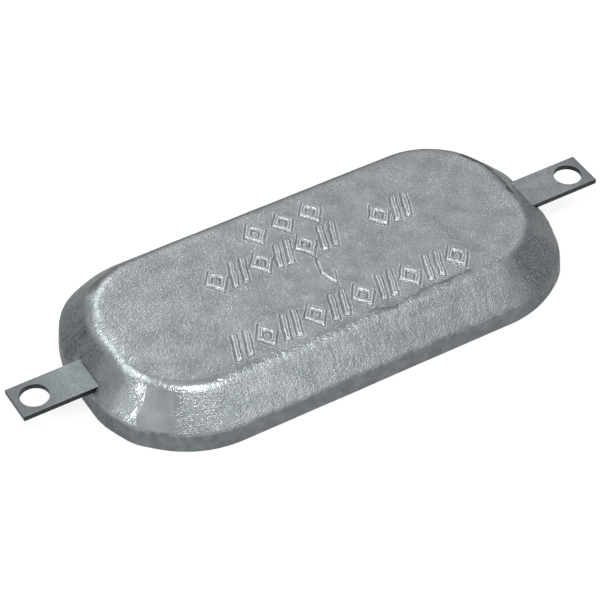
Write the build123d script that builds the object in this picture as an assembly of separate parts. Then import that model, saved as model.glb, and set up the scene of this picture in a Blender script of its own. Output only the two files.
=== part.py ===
from build123d import *
import os
from math import atan2, degrees, hypot

# A bolt-on hull anode: one zinc block, cast round a flat steel strap that runs
# right through it and carries a bolt hole at each end.
# Millimetres, +Z up, +X along the strap. The origin is the middle of the
# underside, the flat face that lies against the hull.

# Driving dimensions of the zinc casting
block_length = 250
block_width = 125
block_height = 26.5
corner_radius = 52  # plan radius of the corners at the underside
rim_height = 10  # the steep wall round the foot
rim_lean = 0.8  # how far that wall leans in by its top, for mould draft
bevel_run = 16  # how far the sloping sides lean in above the rim
top_edge_radius = 10  # the wide rounding between the sides and the top face
rim_edge_radius = 3  # the soft crease between the rim and the sloping sides
foot_edge_radius = 0.8  # the edge that the molten metal leaves at its free surface

# Driving dimensions of the raised marks cast on the top face
mark_rise = 1.2
mark_width = 12
mark_length = 16.5  # across the block
mark_line = 2.8  # width of the lines that the marks are drawn with, at their foot
mark_side_lean = 30  # degrees, so that the marks leave the mould
bar_spacing = 6  # between the two bars of a pair
bar_slant = 20  # degrees from straight across the block
spindle_width = 7
spindle_length = 22

# Driving dimensions of the strap, cut from flat bar
strap_width = 20
strap_thickness = 3
strap_edge_radius = 0.4  # rolled bar has slightly rounded long edges
strap_top = 14  # height of the strap's upper face above the underside
hole_spacing = 295
hole_diameter = 14
hole_margin = 10.25  # from the middle of a hole to the sheared end beyond it


def lean_angle(run, rise):
    """The angle from upright, in degrees, of a side that leans in by run over rise."""
    return degrees(atan2(run, rise))


def steel_strap():
    """Flat bar with a bolt hole near each end."""
    strap_length = hole_spacing + 2 * hole_margin
    strap_middle = strap_top - strap_thickness / 2
    with BuildPart() as strap:
        with Locations((0, 0, strap_middle)):
            Box(strap_length, strap_width, strap_thickness)
        fillet(strap.edges().filter_by(Axis.X), strap_edge_radius)
        with GridLocations(hole_spacing, 0, 2, 1):
            Hole(hole_diameter / 2)
    return strap.part


def diamond(width, length, mode=Mode.ADD):
    """A lozenge on its point."""
    return Polygon((width / 2, 0), (0, length / 2), (-width / 2, 0), (0, -length / 2), mode=mode)


def open_diamond():
    """A lozenge drawn in lines of the marks' width."""
    across_flats = mark_width * mark_length / hypot(mark_width, mark_length)
    inside = 1 - 2 * mark_line / across_flats
    with BuildSketch() as mark:
        diamond(mark_width, mark_length)
        diamond(inside * mark_width, inside * mark_length, mode=Mode.SUBTRACT)
    return mark.sketch


def bar_pair():
    """Two short bars side by side, slanting the same way."""
    with BuildSketch() as mark:
        with GridLocations(bar_spacing, 0, 2, 1):
            Rectangle(mark_line, mark_length, rotation=-bar_slant)
    return mark.sketch


def spindle():
    """One solid slim lozenge."""
    with BuildSketch() as mark:
        diamond(spindle_width, spindle_length)
    return mark.sketch


# Rows of marks on the top face: what, how many, how far apart, and the row's middle
mark_rows = [
    (open_diamond, 3, 15.3, (1.3, 30.2)),
    (open_diamond, 3, 24.4, (-21.4, 11.3)),
    (bar_pair, 3, 24.4, (-9.2, 11.3)),
    (open_diamond, 1, 0, (44, 11.3)),
    (bar_pair, 1, 0, (56.2, 11.3)),
    (spindle, 1, 0, (2.4, -9.5)),
    (bar_pair, 5, 26, (-4.3, -31.7)),
    (open_diamond, 5, 26, (8.7, -31.7)),
]


def raised_marks():
    """All the marks, standing on the top face with sides that lean in."""
    with BuildPart() as marks:
        with BuildSketch(Plane.XY.offset(block_height)):
            for motif, count, pitch, middle in mark_rows:
                with Locations(middle):
                    with GridLocations(pitch, 0, count, 1):
                        add(motif())
        extrude(amount=mark_rise, taper=mark_side_lean)
    return marks.part


def zinc_casting(strap):
    """Round-ended slab with a steep rim, sloping sides and a wide rounding up to
    the flat top. The metal was poured round the strap, so it fits it all over."""
    bevel_rise = block_height - rim_height
    with BuildPart() as casting:
        with BuildSketch():
            RectangleRounded(block_length, block_width, corner_radius)
        extrude(amount=rim_height, taper=lean_angle(rim_lean, rim_height))
        rim_face = casting.faces().sort_by(Axis.Z)[-1]
        extrude(rim_face, amount=bevel_rise, taper=lean_angle(bevel_run, bevel_rise))

        foot_edges, rim_edges, top_edges = (
            casting.edges().filter_by_position(Axis.Z, z - 0.01, z + 0.01)
            for z in (0, rim_height, block_height)
        )
        fillet(top_edges, top_edge_radius)
        fillet(rim_edges, rim_edge_radius)
        fillet(foot_edges, foot_edge_radius)
        add(raised_marks())
        add(strap, mode=Mode.SUBTRACT)
    return casting.part


strap = steel_strap()
nodes = {"steel_strap": strap, "zinc_casting": zinc_casting(strap)}

os.makedirs("parts", exist_ok=True)
for name, solid in nodes.items():
    export_step(solid, f"parts/{name}.step")
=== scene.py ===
from math import acos, cos, hypot, pi, radians, sin, tan

import bmesh
import bpy
import numpy as np
from mathutils import Matrix, Vector, noise


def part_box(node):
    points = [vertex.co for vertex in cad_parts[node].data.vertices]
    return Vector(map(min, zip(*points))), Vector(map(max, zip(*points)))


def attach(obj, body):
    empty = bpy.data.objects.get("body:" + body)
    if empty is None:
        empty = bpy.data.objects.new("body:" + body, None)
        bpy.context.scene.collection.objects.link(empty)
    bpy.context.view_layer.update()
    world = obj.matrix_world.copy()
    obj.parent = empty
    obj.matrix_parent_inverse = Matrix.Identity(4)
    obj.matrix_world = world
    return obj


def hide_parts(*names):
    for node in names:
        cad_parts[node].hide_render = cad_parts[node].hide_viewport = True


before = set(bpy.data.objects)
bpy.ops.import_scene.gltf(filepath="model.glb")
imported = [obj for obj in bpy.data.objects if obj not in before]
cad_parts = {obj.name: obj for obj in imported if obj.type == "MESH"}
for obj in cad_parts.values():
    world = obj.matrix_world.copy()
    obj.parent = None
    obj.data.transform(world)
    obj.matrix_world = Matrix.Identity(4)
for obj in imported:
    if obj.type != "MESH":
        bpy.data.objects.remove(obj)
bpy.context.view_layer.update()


# Steel strap
# A length of 20 x 3 mm flat bar, sheared at both ends, with a bolt hole near each of them, and
# hot-dip galvanised. The block is cast round its middle, so only its two ends show.

mm = 0.001
strap_low, strap_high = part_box("steel_strap")
strap_thickness = strap_high.z - strap_low.z
strap_edge = 0.35 * mm  # rounding that the zinc bath leaves on every edge
hole_spacing = 295 * mm
hole_radius = 7 * mm
hole_points = 72


def linear(hex_colour):
    """An sRGB hex colour such as "#8f969a" as linear RGBA."""
    parts = [int(hex_colour[i:i + 2], 16) / 255 for i in (1, 3, 5)]
    return [c / 12.92 if c <= 0.04045 else ((c + 0.055) / 1.055) ** 2.4 for c in parts] + [1]


def add_node(tree, kind, settings=(), links=()):
    """Adds a node. Settings name its properties or sockets; links give sockets their sources.

    A socket goes by its name or, where several share one, by its number.
    """
    node = tree.nodes.new(kind)
    for name, value in dict(settings).items():
        if isinstance(name, str) and hasattr(node, name):
            setattr(node, name, value)
        else:
            node.inputs[name].default_value = value
    for name, source in dict(links).items():
        tree.links.new(source, node.inputs[name])
    return node


def closed_line(curve, points):
    """Adds a closed outline through flat points to a 2D curve."""
    spline = curve.splines.new("POLY")
    spline.points.add(len(points) - 1)
    for place, (x, y) in zip(spline.points, points):
        place.co = (x, y, 0, 1)
    spline.use_cyclic_u = True


bar = bpy.data.curves.new("strap_outline", "CURVE")
bar.dimensions = "2D"
bar.fill_mode = "BOTH"
bar.extrude = strap_thickness / 2 - strap_edge
bar.bevel_depth = strap_edge
bar.bevel_resolution = 3
bar.offset = -strap_edge
closed_line(bar, [(strap_low.x, strap_low.y), (strap_high.x, strap_low.y),
                  (strap_high.x, strap_high.y), (strap_low.x, strap_high.y)])
hole_angles = [2 * pi * k / hole_points for k in range(hole_points)]
for side in (-1, 1):
    closed_line(bar, [(side * hole_spacing / 2 + hole_radius * cos(a), hole_radius * sin(a))
                      for a in hole_angles])
outline = bpy.data.objects.new("strap_outline", bar)
bpy.context.scene.collection.objects.link(outline)
strap_mesh = bpy.data.meshes.new_from_object(outline)
bpy.data.objects.remove(outline)
strap_mesh.transform(Matrix.Translation((0, 0, (strap_low.z + strap_high.z) / 2)))
for face in strap_mesh.polygons:
    face.use_smooth = True
strap_mesh.set_sharp_from_angle(angle=radians(40))
strap = bpy.data.objects.new("galvanised_strap", strap_mesh)
bpy.context.scene.collection.objects.link(strap)

# Hot-dip galvanised steel, weathered: the bath's bright spangle has gone to a flat blue grey,
# with soft cloudy patches. The sheared sides and the punched bores are painted dark, as shade.
galvanised = bpy.data.materials.new("galvanised_steel_weathered")
galvanised.use_nodes = True
tree = galvanised.node_tree
tree.nodes.clear()
colour_a = 6  # number of a Mix node's first colour socket
colour_b = 7  # number of its second one
mixed = 2  # number of its colour output
place = add_node(tree, "ShaderNodeTexCoord").outputs["Object"]
cloud = add_node(tree, "ShaderNodeTexNoise", {"Scale": 1 / (7 * mm), "Detail": 4}, {"Vector": place})
cloud_colour = add_node(tree, "ShaderNodeValToRGB", {}, {"Fac": cloud.outputs["Fac"]})
cloud_colour.color_ramp.elements[0].position = 0.35
cloud_colour.color_ramp.elements[0].color = linear("#9aa1a5")
cloud_colour.color_ramp.elements[1].position = 0.65
cloud_colour.color_ramp.elements[1].color = linear("#abb2b6")

# Both ends are darker, up to a cloudy line, and the left one over more of its length
dark_end_shift = 5 * mm
along = add_node(tree, "ShaderNodeSeparateXYZ", {}, {"Vector": place}).outputs["X"]
shifted = add_node(tree, "ShaderNodeMath", {"operation": "SUBTRACT", 1: dark_end_shift}, {0: along})
from_middle = add_node(tree, "ShaderNodeMath", {"operation": "ABSOLUTE"},
                       {0: shifted.outputs["Value"]})
cloudy_end = add_node(tree, "ShaderNodeMath", {"operation": "MULTIPLY_ADD", 1: 16 * mm},
                      {0: cloud.outputs["Fac"], 2: from_middle.outputs["Value"]})
dark_end_share = add_node(tree, "ShaderNodeMapRange",
                      {"From Min": 143 * mm, "From Max": 162 * mm, "To Max": 0.8},
                      {"Value": cloudy_end.outputs["Value"]})
dark_end_colour = add_node(tree, "ShaderNodeMix", {"data_type": "RGBA", colour_b: linear("#787f82")},
                       {"Factor": dark_end_share.outputs["Result"], colour_a: cloud_colour.outputs["Color"]})

# Painted shade on the sides and bores: all that faces neither up nor down
normal = add_node(tree, "ShaderNodeNewGeometry").outputs["Normal"]
facing = add_node(tree, "ShaderNodeSeparateXYZ", {}, {"Vector": normal}).outputs["Z"]
flatness = add_node(tree, "ShaderNodeMath", {"operation": "ABSOLUTE"}, {0: facing})
side_shade_share = add_node(tree, "ShaderNodeMapRange",
                      {"From Min": 0.3, "From Max": 0.8, "To Min": 1, "To Max": 0},
                      {"Value": flatness.outputs["Value"]})
side_shaded_colour = add_node(tree, "ShaderNodeMix", {"data_type": "RGBA", colour_b: linear("#22282a")},
                        {"Factor": side_shade_share.outputs["Result"], colour_a: dark_end_colour.outputs[mixed]})

# Fine dark specks and a faint ripple
specks = add_node(tree, "ShaderNodeTexNoise", {"Scale": 1 / (0.9 * mm), "Detail": 2}, {"Vector": place})
speck_share = add_node(tree, "ShaderNodeMapRange",
                       {"From Min": 0.35, "From Max": 0.65, "To Min": 0.35, "To Max": 0},
                       {"Value": specks.outputs["Fac"]})
speckled = add_node(tree, "ShaderNodeMix", {"data_type": "RGBA", colour_b: linear("#5d6366")},
                    {"Factor": speck_share.outputs["Result"], colour_a: side_shaded_colour.outputs[mixed]})
ripple = add_node(tree, "ShaderNodeTexNoise", {"Scale": 1 / (1.2 * mm), "Detail": 3}, {"Vector": place})
bump = add_node(tree, "ShaderNodeBump", {"Strength": 1, "Distance": 0.09 * mm},
                {"Height": ripple.outputs["Fac"]})
surface = add_node(tree, "ShaderNodeBsdfPrincipled", {"Metallic": 0.85, "Roughness": 0.45},
                   {"Base Color": speckled.outputs[mixed], "Normal": bump.outputs["Normal"]})
add_node(tree, "ShaderNodeOutputMaterial", {}, {"Surface": surface.outputs["BSDF"]})
strap_mesh.materials.append(galvanised)

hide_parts("steel_strap")
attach(strap, "root")


# Zinc casting
# The anode itself: zinc poured into a coated iron mould round the strap. It keeps the mould's
# shape, a steep rim, sloping sides and a wide rounding, with a skin like fine orange peel.

block_length = 250
block_width = 125
block_height = 26.5
corner_radius = 52
rim_height = 10
rim_lean = 0.8
bevel_run = 16
foot_edge_radius = 0.8
rim_edge_radius = 3
top_edge_radius = 10
straight_x = block_length / 2 - corner_radius
straight_y = block_width / 2 - corner_radius

# Profile from the foot up to the flat top, as inset from the foot's outline and height, in mm
foot_corner = np.array((0, 0))
rim_corner = np.array((rim_lean, rim_height))
top_corner = np.array((rim_lean + bevel_run, block_height))


def rounded_corner(before, corner, after, radius, steps):
    """Points along the arc that rounds one corner of the profile."""
    back = (before - corner) / np.linalg.norm(before - corner)
    on = (after - corner) / np.linalg.norm(after - corner)
    half_angle = acos(np.clip(back @ on, -1, 1)) / 2
    middle = corner + (back + on) / np.linalg.norm(back + on) * radius / sin(half_angle)
    first = corner + back * radius / tan(half_angle) - middle
    last = corner + on * radius / tan(half_angle) - middle
    turn = acos(np.clip(first @ last / radius ** 2, -1, 1))
    return [middle + (sin((1 - t) * turn) * first + sin(t * turn) * last) / sin(turn)
            for t in np.linspace(0, 1, steps + 1)]


def straight_run(start, end, steps):
    """Points between two profile points, without the ends."""
    return [start + (end - start) * t for t in np.linspace(0, 1, steps + 1)[1:-1]]


inward = np.array((40, 0))
foot_arc = rounded_corner(inward, foot_corner, rim_corner, foot_edge_radius, 3)
rim_arc = rounded_corner(foot_corner, rim_corner, top_corner, rim_edge_radius, 3)
top_arc = rounded_corner(rim_corner, top_corner, top_corner + inward, top_edge_radius, 12)
underside = [np.array((inset, 0)) for inset in (38, 24, 14, 7, 3)]
profile = np.array(underside + foot_arc + straight_run(foot_arc[-1], rim_arc[0], 6) + rim_arc
                   + straight_run(rim_arc[-1], top_arc[0], 18) + top_arc)
profile_step = np.gradient(profile, axis=0)
profile_out = np.stack([profile_step[:, 1], profile_step[:, 0]], 1)
profile_out /= np.linalg.norm(profile_out, axis=1)[:, None]
profile_out[:len(underside)] = (0, -1)
profile_out[-1] = (0, 1)
slope_length = np.concatenate([[0], np.cumsum(np.linalg.norm(np.diff(profile, axis=0), axis=1))])

# One grid of cells covers the flat top, and its edge runs on down the sides. Over each corner
# the square of cells is drawn in to a quarter circle.
corner_cells = 50
cells_along = 250
cells_across = 36


def grid_line(straight, straight_cells):
    """For each grid line: its place along the straight part and its share of a corner."""
    corner_share = np.linspace(0, 1, corner_cells + 1)
    shares = np.concatenate([corner_share[::-1] * -1, np.zeros(straight_cells - 1), corner_share])
    ends = np.full(corner_cells, straight)
    places = np.concatenate([-ends, np.linspace(-straight, straight, straight_cells + 1), ends])
    return places, shares


along, along_share = grid_line(straight_x, cells_along)
across, across_share = grid_line(straight_y, cells_across)
u, v = np.meshgrid(along_share, across_share, indexing="ij")
arc_x = u * np.sqrt(1 - v ** 2 / 2)
arc_y = v * np.sqrt(1 - u ** 2 / 2)
base_x, base_y = np.meshgrid(along, across, indexing="ij")
columns, rows = u.shape
edge = ([(i, 0) for i in range(columns - 1)] + [(columns - 1, j) for j in range(rows - 1)]
        + [(i, rows - 1) for i in range(columns - 1, 0, -1)] + [(0, j) for j in range(rows - 1, 0, -1)])
edge_i, edge_j = np.array(edge).T
round_count = len(edge)

# Points and outward directions, in mm: the rings from the underside up, then the flat top
ring_base = np.stack([base_x[edge_i, edge_j], base_y[edge_i, edge_j]], 1)
ring_out = np.stack([arc_x[edge_i, edge_j], arc_y[edge_i, edge_j]], 1)
points, outward = [], []
for (inset, level), (side, up) in zip(profile, profile_out):
    flat = ring_base + (corner_radius - inset) * ring_out
    points.append(np.column_stack([flat, np.full(round_count, level)]))
    outward.append(np.column_stack([side * ring_out, np.full(round_count, up)]))
top_radius = corner_radius - profile[-1, 0]
inside_i, inside_j = (a.ravel() for a in np.mgrid[1:columns - 1, 1:rows - 1])
top_points = np.column_stack([
    base_x[inside_i, inside_j] + top_radius * arc_x[inside_i, inside_j],
    base_y[inside_i, inside_j] + top_radius * arc_y[inside_i, inside_j],
    np.full(len(inside_i), block_height)])
points = np.concatenate(points + [top_points])
outward = np.concatenate(outward + [np.tile((0, 0, 1), (len(top_points), 1))])
height = points[:, 2]

# turn is where a point is round the block, in degrees: 0 at the left end, 90 in front, 180 at the
# right end and -90 at the back. inside_edge is how far it lies inside the flat top's edge, in mm
# along the skin, and is below 0 outside that edge.
turn = np.degrees(np.arctan2(-outward[:, 1], -outward[:, 0]))
arc_share = np.hypot(arc_x, arc_y)[inside_i, inside_j]
past_edge = slope_length[-1] - slope_length
inside_edge = np.concatenate([-np.repeat(past_edge, round_count), top_radius * (1 - arc_share)])

ring_count = len(profile)
ids = np.arange(ring_count * round_count).reshape(ring_count, round_count)
top_ids = np.zeros((columns, rows), int)
top_ids[edge_i, edge_j] = ids[-1]
top_ids[inside_i, inside_j] = ring_count * round_count + np.arange(len(inside_i))


# Raised marks on the top face, all cut into the mould: open diamonds, pairs of slanting bars
# and one slim solid diamond. They say nothing; they stand where such a block has lettering.
mark_rise = 1.2
mark_width = 12
mark_length = 16.5
mark_line = 2.8
bar_spacing = 6
bar_slant = radians(20)
spindle_width = 7
spindle_length = 22
mark_slope = 1  # width of the sloping side of a mark


def diamond_depth(x, y, width, length):
    """How far inside a diamond's sides a point lies."""
    to_side = width * length / 2 / hypot(width, length)
    return to_side * (1 - abs(x) / (width / 2) - abs(y) / (length / 2))


def open_diamond(x, y):
    """How far inside the line of an open diamond a point lies."""
    depth = diamond_depth(x, y, mark_width, mark_length)
    return np.minimum(depth, mark_line - depth)


def bar_pair(x, y):
    """How far inside either of two slanting bars a point lies."""
    depths = []
    for side in (-1, 1):
        from_bar = x - side * bar_spacing / 2
        off = from_bar * cos(bar_slant) - y * sin(bar_slant)
        length_off = y * cos(bar_slant) + from_bar * sin(bar_slant)
        depths.append(np.minimum(mark_line / 2 - abs(off), mark_length / 2 - abs(length_off)))
    return np.maximum(*depths)


def spindle(x, y):
    """How far inside the slim solid diamond a point lies."""
    return np.minimum(diamond_depth(x, y, spindle_width, spindle_length), spindle_length / 2 - abs(y))


# Each row of marks: its motif, how many, how far apart, and the middle of the row
mark_rows = [
    (open_diamond, 3, 15.3, (1.3, 30.2)),
    (open_diamond, 3, 24.4, (-21.4, 11.3)),
    (bar_pair, 3, 24.4, (-9.2, 11.3)),
    (open_diamond, 1, 0, (44, 11.3)),
    (bar_pair, 1, 0, (56.2, 11.3)),
    (spindle, 1, 0, (2.4, -9.5)),
    (bar_pair, 5, 26, (-4.3, -31.7)),
    (open_diamond, 5, 26, (8.7, -31.7)),
]


def rising(value, start, width):
    """0 up to the start, and from there a smooth rise to 1 over the width."""
    t = np.clip((value - start) / width, 0, 1)
    return t * t * (3 - 2 * t)


def falling(value, start, width):
    """1 up to the start, and from there a smooth fall to 0 over the width."""
    return 1 - rising(value, start, width)


def bell(value, middle, spread):
    """1 at the middle, with a smooth fall to 0 on both sides of it."""
    return np.exp(-((value - middle) / spread) ** 2)


# The moulder cut the marks by hand, so their sides waver a little
waver = np.array([[0.5 * noise.noise(Vector(p) / 6 + shift) + 0.25 * noise.noise(Vector(p) / 2 + shift)
                   for shift in (Vector((0, 0, 0)), Vector((40, 0, 0)))] for p in points])
inside_mark = np.full(len(points), -6.0)
on_top = height > block_height - 0.5
for motif, count, pitch, (middle_x, middle_y) in mark_rows:
    for k in range(count):
        mark_x = middle_x + (k - (count - 1) / 2) * pitch
        x = points[:, 0] - mark_x + waver[:, 0]
        y = points[:, 1] - middle_y + waver[:, 1]
        near = on_top & (abs(x) < mark_length) & (abs(y) < mark_length)
        inside_mark[near] = np.maximum(inside_mark[near], motif(x[near], y[near]))
raised = mark_rise * rising(inside_mark, -0.3, mark_slope) * (1 + 0.2 * waver[:, 0])

# The mould is not quite true: corners and ends stand out or in by up to 1.2 mm. Each swell has
# its angle round the block, how far it spreads, how far it stands out, and how far below the top
# it is in full.
mould_swells = [(-47, 14, 1.2, 3), (-18, 9, -0.4, 3), (12, 10, 0.4, 3), (32, 8, 0.8, 16),
                (139, 12, 0.9, 3), (161, 10, -0.6, 3), (188, 8, 0.6, 3)]
swell = np.zeros(len(points))
for angle, spread, stand, reach in mould_swells:
    off = (turn - angle + 180) % 360 - 180
    swell += stand * bell(off, 0, spread) * rising(block_height - height, 0, reach)

# The cast skin, in mm from the mould's own shape: slow waves where the metal shrank, a fine peel,
# creases where the metal's skin folded, and streaks where it ran down the sloping sides.
skin_level = -0.2  # a little inside, so that the highest grains don't stand out of the block
skin_waves = [(0.12, 30), (0.05, 9), (0.04, 3), (0.05, 1.5)]  # the depth and length of each
crease_depth = 0.14
streak_depth = 0.07
streak_width = 1.3
streak_length = 6
slope_line = ring_base + 40 * ring_out  # runs round the block on its sloping sides
round_length = np.concatenate([[0], np.cumsum(np.linalg.norm(np.diff(slope_line, axis=0), axis=1))])


def streak(along_round, down_slope):
    """How far a streak stands out or in, from -1 to 1."""
    return noise.noise(Vector((along_round / streak_width, down_slope / streak_length, 3.7)))


def crease(place):
    """How deep in a fold of the skin a place is, from 0 to 1."""
    here = noise.noise(place / 30 + Vector((0, 9, 0)))
    return max(0, min(1, 4 * here)) * bell(noise.noise(place / 22 + Vector((7, 0, 0))), 0, 0.035)


skin = np.zeros(len(points))
streaks = np.zeros(len(points))
ring_rows = np.repeat(np.arange(ring_count), round_count)
ring_places = np.tile(np.arange(round_count), ring_count)
for k, point in enumerate(points):
    place = Vector(point)
    skin[k] = skin_level + sum(depth * noise.noise(place / length) for depth, length in skin_waves)
    skin[k] -= crease_depth * crease(place)
    if k < ring_count * round_count and point[2] > 0.5:
        streaks[k] = streak(round_length[ring_places[k]], slope_length[ring_rows[k]])
        skin[k] += streak_depth * streaks[k]

# Small blowholes, where gas left the metal, each with its middle, radius and depth
blowholes = [((-119.6, 10.6, 14.7), 1.3, 1), ((103.8, -40.4, 18.5), 1, 0.6), ((111, 3, 23.6), 1.3, 0.7),
             ((109, -2.5, 24.5), 1.2, 0.6), ((96, 26, 26.5), 1, 0.4), ((88, 20, 26.5), 0.9, 0.3)]
for middle, radius, hole_depth in blowholes:
    skin -= hole_depth * bell(np.linalg.norm(points - middle, axis=1), 0, radius)

# Two long folds of the skin, each with its line in plan, half width, depth and how dark the
# painted shade in it is: one between the front marks and the rounding, one round the back of the right end
folds = [([(5, -43.2), (20, -44.6), (38, -43.2), (60, -42.4)], 0.7, 0.25, 0.45),
         ([(103, 29), (108, 20), (110.5, 10), (111.5, 3), (109.5, -7)], 1.1, 0.5, 0.9)]
above_strap = height > 15
fold_painted_shade = np.zeros(len(points))
for line, half_width, fold_depth, darkness in folds:
    fold = np.zeros(len(points))
    for start, end in zip(line[:-1], line[1:]):
        run = np.subtract(end, start)
        from_start = points[:, :2] + 2.5 * waver - start
        share = np.clip(from_start @ run / (run @ run), 0, 1)
        off = np.linalg.norm(from_start - share[:, None] * run, axis=1)
        fold = np.maximum(fold, bell(off, 0, half_width))
    fold *= above_strap
    skin -= fold_depth * fold
    fold_painted_shade = np.maximum(fold_painted_shade, darkness * fold * (1 + waver[:, 1]))

# The skin draws in a little where it meets the strap
strap_half_width = 10
strap_middle_height = 12.5
strap_half_thickness = 1.5
draw_in = 0.2
draw_in_reach = 1.5
outside_width = np.maximum(abs(points[:, 1]) - strap_half_width, 0)
outside_height = np.maximum(abs(height - strap_middle_height) - strap_half_thickness, 0)
from_strap = np.hypot(outside_width, outside_height)
at_ends = abs(points[:, 0]) > 100
skin -= at_ends * draw_in * bell(from_strap, 0, draw_in_reach)

# How coarse the fine grain is: 1 on the rim and the plain slopes, in patches on the flat top, and
# finer round the marks
grain = np.ones(len(points))
for k in np.flatnonzero(height > block_height - 0.1):
    place = Vector(points[k])
    patch = noise.noise(place / 14 + Vector((3, 0, 0))) + 0.5 * noise.noise(place / 6)
    grain[k] = 1.2 + 0.6 * patch - 0.15 * rising(points[k, 0], 0, 80)
grain *= 1 - 0.4 * rising(inside_mark, -5, 5)

# The slope of the left front corner is nearly smooth, where the mould was dressed, and the slopes
# on both sides of it are coarser
on_slope = rising(height, 9, 3) * falling(height, 22.5, 3)
ragged_turn = turn + 14 * waver[:, 0]
dressed = on_slope * rising(ragged_turn, 24, 8) * falling(ragged_turn, 43, 22)
sparkling = on_slope * rising(ragged_turn, 46, 16) * falling(ragged_turn, 74, 16)
grain *= (1 - 0.8 * dressed) * (1 + 1.3 * sparkling)
grain *= 1 + 0.25 * on_slope * bell(turn, 25, 10)

# The left end's rounding is nearly smooth too. The right end's slope and rounding are coarser.
left_end = rising(-points[:, 0], 62, 25)
right_end = rising(points[:, 0], 80, 25)
grain *= 1 - 0.75 * left_end * bell(inside_edge, -2, 4)
grain *= 1 + 0.8 * on_slope * rising(abs(turn), 92, 15)
grain *= 1 + 0.7 * right_end * bell(inside_edge, -1, 5)

# Where the skin is dull and painted dark as shade: round the right end, from the foot into its rounding
right_dull_shade = 0.85 * rising(abs(turn), 88, 25) * rising(-inside_edge, 0.5, 5)

# On the left end's slope, most of it behind the strap, and on the rim below, as painted shadow of the
# strap
behind = rising(points[:, 1], -8, 12)
left_dull_shade = 0.5 + 0.35 * behind + 0.15 * bell(turn, -13, 10)
left_dull_shade *= rising(turn, -85, 25) * falling(turn, 12, 11) * falling(height, 22, 3.5)
left_rim_shadow = 0.9 * rising(turn, -100, 10) * falling(turn, 15, 25) * falling(height, 8, 3)
left_dull_shade = np.maximum(left_dull_shade, left_rim_shadow)

# And along the back, also painted shade. The grain is coarser wherever the skin is dull.
back_dull_shade = 0.9 * rising(-turn, 35, 15) * rising(turn, -170, 15) * rising(-inside_edge, 2, 3)
dull_and_shade = np.maximum(np.where(points[:, 0] > 0, right_dull_shade, left_dull_shade), back_dull_shade)
grain = np.clip(grain * (1 + 0.6 * dull_and_shade), 0.15, 2.4)

# The underside stays flat, and nothing stands outside the block's own size
moves = outward * (skin + swell + raised)[:, None]
moves[:, 2] *= np.clip(height / 3, 0, 1)
casting_low, casting_high = (np.array(corner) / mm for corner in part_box("zinc_casting"))
moved = np.clip(points + moves, casting_low, casting_high)

quads = []
for ring in range(ring_count - 1):
    here, above = ids[ring], ids[ring + 1]
    quads.append(np.column_stack([here, np.roll(here, -1), np.roll(above, -1), above]))
quads.append(np.column_stack([top_ids[:-1, :-1].ravel(), top_ids[1:, :-1].ravel(),
                              top_ids[1:, 1:].ravel(), top_ids[:-1, 1:].ravel()]))
faces = np.concatenate(quads).tolist() + [ids[0][::-1].tolist()]
casting_mesh = bpy.data.meshes.new("cast_block")
casting_mesh.from_pydata((moved * mm).tolist(), [], faces)
casting_mesh.validate()
for name, values in (("mark_inside", inside_mark), ("dull_and_shaded_skin", dull_and_shade), ("grain_strength", grain),
                     ("streaks", streaks), ("fold_painted_shade", fold_painted_shade)):
    attribute = casting_mesh.attributes.new(name, "FLOAT", "POINT")
    attribute.data.foreach_set("value", values.astype(np.float32))
rough_casting = bpy.data.objects.new("block_before_slots", casting_mesh)
bpy.context.scene.collection.objects.link(rough_casting)

# Zinc shrinks as it sets, so it has left a thin ragged gap over the strap where that comes out
gap_below = 0.15
gap_above = 0.55
gap_raggedness = 0.14
slot_from = 109
slot_to = 128
slot_cuts = 17  # cuts across each side of a slot, so that it can be ragged
slot_size = (slot_to - slot_from, 2 * strap_half_width + gap_below + gap_above,
             2 * strap_half_thickness + gap_below + gap_above)
cutter = bmesh.new()
for side in (-1, 1):
    middle = Vector((side * (slot_from + slot_to) / 2, (gap_above - gap_below) / 2,
                     strap_middle_height + (gap_above - gap_below) / 2))
    slot_place = Matrix.Translation(middle) @ Matrix.Diagonal((*slot_size, 1))
    bmesh.ops.create_cube(cutter, size=1, matrix=slot_place)
bmesh.ops.subdivide_edges(cutter, edges=cutter.edges, cuts=slot_cuts, use_grid_fill=True)
for corner in cutter.verts:
    corner.co += gap_raggedness * Vector([noise.noise(corner.co / 1.6 + Vector((shift, 0, 0)))
                                          for shift in (0, 40, 80)])
    corner.co *= mm
slot_mesh = bpy.data.meshes.new("strap_slots")
cutter.to_mesh(slot_mesh)
cutter.free()
slots = bpy.data.objects.new("strap_slots", slot_mesh)
bpy.context.scene.collection.objects.link(slots)
cut = rough_casting.modifiers.new("slots", "BOOLEAN")
cut.operation = "DIFFERENCE"
cut.solver = "EXACT"
cut.object = slots
finished = rough_casting.evaluated_get(bpy.context.evaluated_depsgraph_get())
casting_mesh = bpy.data.meshes.new_from_object(finished)
for spare in (rough_casting, slots):
    bpy.data.objects.remove(spare)

# The cut leaves many-sided faces. Split into triangles, a few of them are slivers that lie back to
# back on one edge, so both are taken away and the faces beside them meet there.
cut_casting = bmesh.new()
cut_casting.from_mesh(casting_mesh)
bmesh.ops.triangulate(cut_casting, faces=[face for face in cut_casting.faces if len(face.verts) > 4])
same_corners = {}
for face in cut_casting.faces:
    same_corners.setdefault(frozenset(face.verts), []).append(face)
slivers = [face for group in same_corners.values() if len(group) > 1 for face in group]
bmesh.ops.delete(cut_casting, geom=slivers, context="FACES")
cut_casting.to_mesh(casting_mesh)
cut_casting.free()
for face in casting_mesh.polygons:
    face.use_smooth = True
casting_mesh.set_sharp_from_angle(angle=radians(65))
casting = bpy.data.objects.new("cast_zinc_block", casting_mesh)
bpy.context.scene.collection.objects.link(casting)
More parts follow.
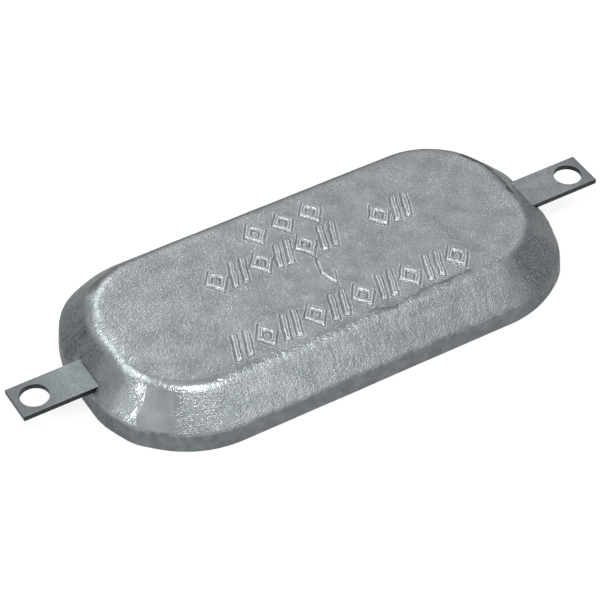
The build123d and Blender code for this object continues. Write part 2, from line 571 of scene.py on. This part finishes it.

# As-cast zinc with a thin oxide skin: a blue grey metal, half matt, whose peel of small humps
# catches the light in fine glints, some of them painted. The rim is painted darker, as shade.
zinc = bpy.data.materials.new("zinc_as_cast")
zinc.use_nodes = True
tree = zinc.node_tree
tree.nodes.clear()
place = add_node(tree, "ShaderNodeTexCoord").outputs["Object"]
patches = add_node(tree, "ShaderNodeTexNoise", {"Scale": 1 / (12 * mm), "Detail": 5}, {"Vector": place})
colour = add_node(tree, "ShaderNodeValToRGB", {}, {"Fac": patches.outputs["Fac"]})
colour.color_ramp.elements[0].position = 0.35
colour.color_ramp.elements[0].color = linear("#a0a7aa")
colour.color_ramp.elements[1].position = 0.65
colour.color_ramp.elements[1].color = linear("#b6bcbf")

# Painted shade on the rim, up to a slightly ragged line
where = add_node(tree, "ShaderNodeSeparateXYZ", {}, {"Vector": place})
ragged = add_node(tree, "ShaderNodeTexNoise", {"Scale": 1 / (4 * mm), "Detail": 3}, {"Vector": place})
ragged_height = add_node(tree, "ShaderNodeMath", {"operation": "MULTIPLY_ADD", 1: 1.5 * mm},
                         {0: ragged.outputs["Fac"], 2: where.outputs["Z"]})
rim_shade_share = add_node(tree, "ShaderNodeMapRange",
                     {"From Min": 9.8 * mm, "From Max": 11.4 * mm, "To Min": 1, "To Max": 0},
                     {"Value": ragged_height.outputs["Value"]}).outputs["Result"]
rim_shade_tone = add_node(tree, "ShaderNodeValToRGB", {}, {"Fac": ragged.outputs["Fac"]})
rim_shade_tone.color_ramp.elements[0].position = 0.3
rim_shade_tone.color_ramp.elements[0].color = linear("#63686b")
rim_shade_tone.color_ramp.elements[1].position = 0.7
rim_shade_tone.color_ramp.elements[1].color = linear("#777d80")
rim_shaded_colour = add_node(tree, "ShaderNodeMix", {"data_type": "RGBA"},
                      {"Factor": rim_shade_share, colour_a: colour.outputs["Color"],
                       colour_b: rim_shade_tone.outputs["Color"]})

# The dull skin, painted dark as shade, streaked down the slopes and darker in the hollows of its grain
grit = add_node(tree, "ShaderNodeTexNoise", {"Scale": 1 / (0.9 * mm), "Detail": 2}, {"Vector": place})
streaked = add_node(tree, "ShaderNodeAttribute", {"attribute_name": "streaks"}).outputs["Fac"]
streaky_grit = add_node(tree, "ShaderNodeMath", {"operation": "MULTIPLY_ADD", 1: 0.12},
                        {0: streaked, 2: grit.outputs["Fac"]})
dull_shade_tone = add_node(tree, "ShaderNodeValToRGB", {}, {"Fac": streaky_grit.outputs["Value"]})
dull_shade_tone.color_ramp.elements[0].position = 0.32
dull_shade_tone.color_ramp.elements[0].color = linear("#464d4e")
dull_shade_tone.color_ramp.elements[1].position = 0.68
dull_shade_tone.color_ramp.elements[1].color = linear("#7c8485")
dull_shade_share = add_node(tree, "ShaderNodeAttribute", {"attribute_name": "dull_and_shaded_skin"}).outputs["Fac"]
dull_shaded_colour = add_node(tree, "ShaderNodeMix", {"data_type": "RGBA"},
                       {"Factor": dull_shade_share, colour_a: rim_shaded_colour.outputs[mixed],
                        colour_b: dull_shade_tone.outputs["Color"]})

# The two long folds, painted dark as the shade in them
fold_shade_share = add_node(tree, "ShaderNodeAttribute", {"attribute_name": "fold_painted_shade"}).outputs["Fac"]
fold_shaded_colour = add_node(tree, "ShaderNodeMix",
                       {"data_type": "RGBA", "clamp_factor": True, colour_b: linear("#33393b")},
                       {"Factor": fold_shade_share, colour_a: dull_shaded_colour.outputs[mixed]})

# Painted glints: bright points on the highest grains, about 0.7 mm across, with none on the rim
# or where the skin is dullest
grains = add_node(tree, "ShaderNodeTexNoise", {"Scale": 1 / (0.7 * mm), "Detail": 1}, {"Vector": place})
glint_share = add_node(tree, "ShaderNodeMapRange", {"From Min": 0.56, "From Max": 0.7, "To Max": 0.3},
                       {"Value": grains.outputs["Fac"]})
coarseness = add_node(tree, "ShaderNodeAttribute", {"attribute_name": "grain_strength"}).outputs["Fac"]
darkest = add_node(tree, "ShaderNodeMath", {"operation": "MAXIMUM"}, {0: dull_shade_share, 1: rim_shade_share})
glint_part = add_node(tree, "ShaderNodeMath", {"operation": "MULTIPLY_ADD", "use_clamp": True, 1: -1.8},
                      {0: darkest.outputs["Value"], 2: coarseness})
glint_here = add_node(tree, "ShaderNodeMath", {"operation": "MULTIPLY"},
                      {0: glint_share.outputs["Result"], 1: glint_part.outputs["Value"]})
glinted_colour = add_node(tree, "ShaderNodeMix", {"data_type": "RGBA", colour_b: linear("#dfe2e4")},
                        {"Factor": glint_here.outputs["Value"], colour_a: fold_shaded_colour.outputs[mixed]})

# The marks' upper edges and a fine lip round them are painted bright as highlights, and painted
# shade lies in the corner at their foot. Each of the three lines has its middle and half width,
# in mm inside a mark's outline, its tone and its strength, and is made ragged by the grain.
mark_light_lines = [(0.6, 0.55, "#e9ecec", 0.85), (-0.4, 0.35, "#5c6265", 0.5), (-0.95, 0.33, "#dcdfe0", 0.5)]
raggedness = 0.8
mark_inside = add_node(tree, "ShaderNodeAttribute", {"attribute_name": "mark_inside"}).outputs["Fac"]
ragged_inside = add_node(tree, "ShaderNodeMath", {"operation": "MULTIPLY_ADD", 1: raggedness},
                         {0: grains.outputs["Fac"], 2: mark_inside})
colour_with_mark_light = glinted_colour.outputs[mixed]
lines = []
for middle, half_width, tone, strength in mark_light_lines:
    off = add_node(tree, "ShaderNodeMath", {"operation": "SUBTRACT", 1: middle + raggedness / 2},
                   {0: ragged_inside.outputs["Value"]})
    distance = add_node(tree, "ShaderNodeMath", {"operation": "ABSOLUTE"}, {0: off.outputs["Value"]})
    line = add_node(tree, "ShaderNodeMapRange",
                    {"interpolation_type": "SMOOTHSTEP", "From Max": half_width, "To Min": 1, "To Max": 0},
                    {"Value": distance.outputs["Value"]}).outputs["Result"]
    part = add_node(tree, "ShaderNodeMath", {"operation": "MULTIPLY", 1: strength}, {0: line})
    colour_with_mark_light = add_node(tree, "ShaderNodeMix", {"data_type": "RGBA", colour_b: linear(tone)},
                           {"Factor": part.outputs["Value"], colour_a: colour_with_mark_light}).outputs[mixed]
    lines.append(line)
crest_highlight, foot_shade, lip_highlight = lines

# The bump is the fine peel, as high as the grain is coarse, with the marks' upper edge and lip
# standing up and their foot cut in
peel = add_node(tree, "ShaderNodeTexNoise", {"Scale": 1 / (0.9 * mm), "Detail": 1.5, "Roughness": 0.6},
                {"Vector": place})
peel_height = add_node(tree, "ShaderNodeMath", {"operation": "MULTIPLY"},
                       {0: peel.outputs["Fac"], 1: coarseness})
edge_height = add_node(tree, "ShaderNodeMath", {"operation": "SUBTRACT"}, {0: crest_highlight, 1: foot_shade})
lip_height = add_node(tree, "ShaderNodeMath", {"operation": "ADD"},
                      {0: edge_height.outputs["Value"], 1: lip_highlight})
skin_height = add_node(tree, "ShaderNodeMath", {"operation": "MULTIPLY_ADD", 1: 0.35},
                       {0: lip_height.outputs["Value"], 2: peel_height.outputs["Value"]})
bump = add_node(tree, "ShaderNodeBump", {"Strength": 1, "Distance": 0.31 * mm},
                {"Height": skin_height.outputs["Value"]})

# The dull parts are rougher, and the oxide takes some of the gloss off at a glancing angle
matness = add_node(tree, "ShaderNodeMapRange", {"To Min": 0.25, "To Max": 0.48}, {"Value": dull_shade_share})
surface = add_node(tree, "ShaderNodeBsdfPrincipled",
                   {"Metallic": 0.85, "Specular Tint": (0.8, 0.8, 0.8, 1)},
                   {"Base Color": colour_with_mark_light, "Roughness": matness.outputs["Result"],
                    "Normal": bump.outputs["Normal"]})
add_node(tree, "ShaderNodeOutputMaterial", {}, {"Surface": surface.outputs["BSDF"]})
casting_mesh.materials.append(zinc)

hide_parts("zinc_casting")
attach(casting, "root")


# Studio
# A white paper table under round soft boxes, the strongest overhead and eleven weaker ones all
# round the block, and a camera with a long lens.

floor_size = 30
bpy.ops.mesh.primitive_plane_add(size=floor_size)
floor = bpy.context.object
floor.name = "floor"

# Matt white paper. The camera and the metal see it glow white, with the block's shadow on it.
paper = bpy.data.materials.new("white_paper")
paper.use_nodes = True
tree = paper.node_tree
tree.nodes.clear()
seen = add_node(tree, "ShaderNodeLightPath")
glossy_or_camera = add_node(tree, "ShaderNodeMath", {"operation": "MAXIMUM"},
                            {0: seen.outputs["Is Camera Ray"], 1: seen.outputs["Is Glossy Ray"]})
shown = add_node(tree, "ShaderNodeMath", {"operation": "MAXIMUM"},
                 {0: glossy_or_camera.outputs["Value"], 1: seen.outputs["Is Transmission Ray"]})
matt = add_node(tree, "ShaderNodeBsdfDiffuse", {"Color": linear("#f3f3f3")})
shadowed = add_node(tree, "ShaderNodeBsdfDiffuse", {"Color": linear("#959595")})
glow = add_node(tree, "ShaderNodeEmission", {"Strength": 0.8})
white = add_node(tree, "ShaderNodeAddShader", {},
                 {0: shadowed.outputs["BSDF"], 1: glow.outputs["Emission"]})
either = add_node(tree, "ShaderNodeMixShader", {},
                  {"Fac": shown.outputs["Value"], 1: matt.outputs["BSDF"], 2: white.outputs["Shader"]})
add_node(tree, "ShaderNodeOutputMaterial", {}, {"Surface": either.outputs["Shader"]})
floor.data.materials.append(paper)

world = bpy.data.worlds.new("studio")
world.use_nodes = True
world.node_tree.nodes["Background"].inputs["Color"].default_value = (1, 1, 1, 1)
world.node_tree.nodes["Background"].inputs["Strength"].default_value = 0.46
bpy.context.scene.world = world


def direction(azimuth, elevation):
    """The way to a lamp or camera, in degrees: azimuth 0 is in front and 90 is on the right."""
    return Vector((sin(radians(azimuth)) * cos(radians(elevation)),
                   -cos(radians(azimuth)) * cos(radians(elevation)), sin(radians(elevation))))


def soft_box(name, azimuth, elevation, spread, radiance, distance=1.2):
    """A round soft box that faces the block. Spread is half its angle as the block sees it."""
    towards = direction(azimuth, elevation)
    light = bpy.data.lights.new(name, "AREA")
    light.shape = "DISK"
    light.size = 2 * distance * tan(radians(spread))
    light.energy = radiance * pi * pi * (light.size / 2) ** 2
    lamp = bpy.data.objects.new(name, light)
    lamp.location = towards * distance
    lamp.rotation_euler = towards.to_track_quat("Z", "Y").to_euler()
    bpy.context.scene.collection.objects.link(lamp)


soft_box("overhead_box", azimuth=-35, elevation=76, spread=8, radiance=11)
soft_box("front_top_box", azimuth=-3, elevation=66, spread=7, radiance=3.6)
soft_box("front_high_box", azimuth=30, elevation=52, spread=9, radiance=1.5)
soft_box("front_box", azimuth=0, elevation=36, spread=9, radiance=2.3, distance=0.6)
soft_box("left_front_box", azimuth=-62, elevation=35, spread=12, radiance=0.3)
soft_box("left_box", azimuth=-95, elevation=31, spread=4.2, radiance=12.5)
soft_box("left_low_box", azimuth=-112, elevation=16, spread=6, radiance=1)
soft_box("back_left_box", azimuth=-135, elevation=54, spread=11, radiance=3.6)
soft_box("back_left_low_box", azimuth=-158, elevation=40, spread=7, radiance=1.2)
soft_box("back_box", azimuth=178, elevation=40, spread=9, radiance=2.4)
soft_box("back_right_box", azimuth=148, elevation=43, spread=10, radiance=0.4)
soft_box("right_box", azimuth=115, elevation=27, spread=13, radiance=1.6)

# The camera looks down on the block from its left front
camera_azimuth = -30.234
camera_elevation = 44.329
camera_roll = radians(-0.439)
camera_distance = 1.2135
camera_target = Vector((-0.01208, -0.00864, 0.014))
back = direction(camera_azimuth, camera_elevation)
level_right = back.cross(Vector((0, 0, 1))).normalized() * -1
level_up = back.cross(level_right)
right = level_right * cos(camera_roll) + level_up * sin(camera_roll)
up = level_up * cos(camera_roll) - level_right * sin(camera_roll)
lens = bpy.data.cameras.new("camera")
lens.lens = 154.01
lens.sensor_width = 36
camera = bpy.data.objects.new("camera", lens)
camera.matrix_world = Matrix.Translation(camera_target + back * camera_distance) @ Matrix(
    (right, up, back)).transposed().to_4x4()
bpy.context.scene.collection.objects.link(camera)
bpy.context.scene.camera = camera
bpy.context.scene.view_settings.view_transform = "Standard"
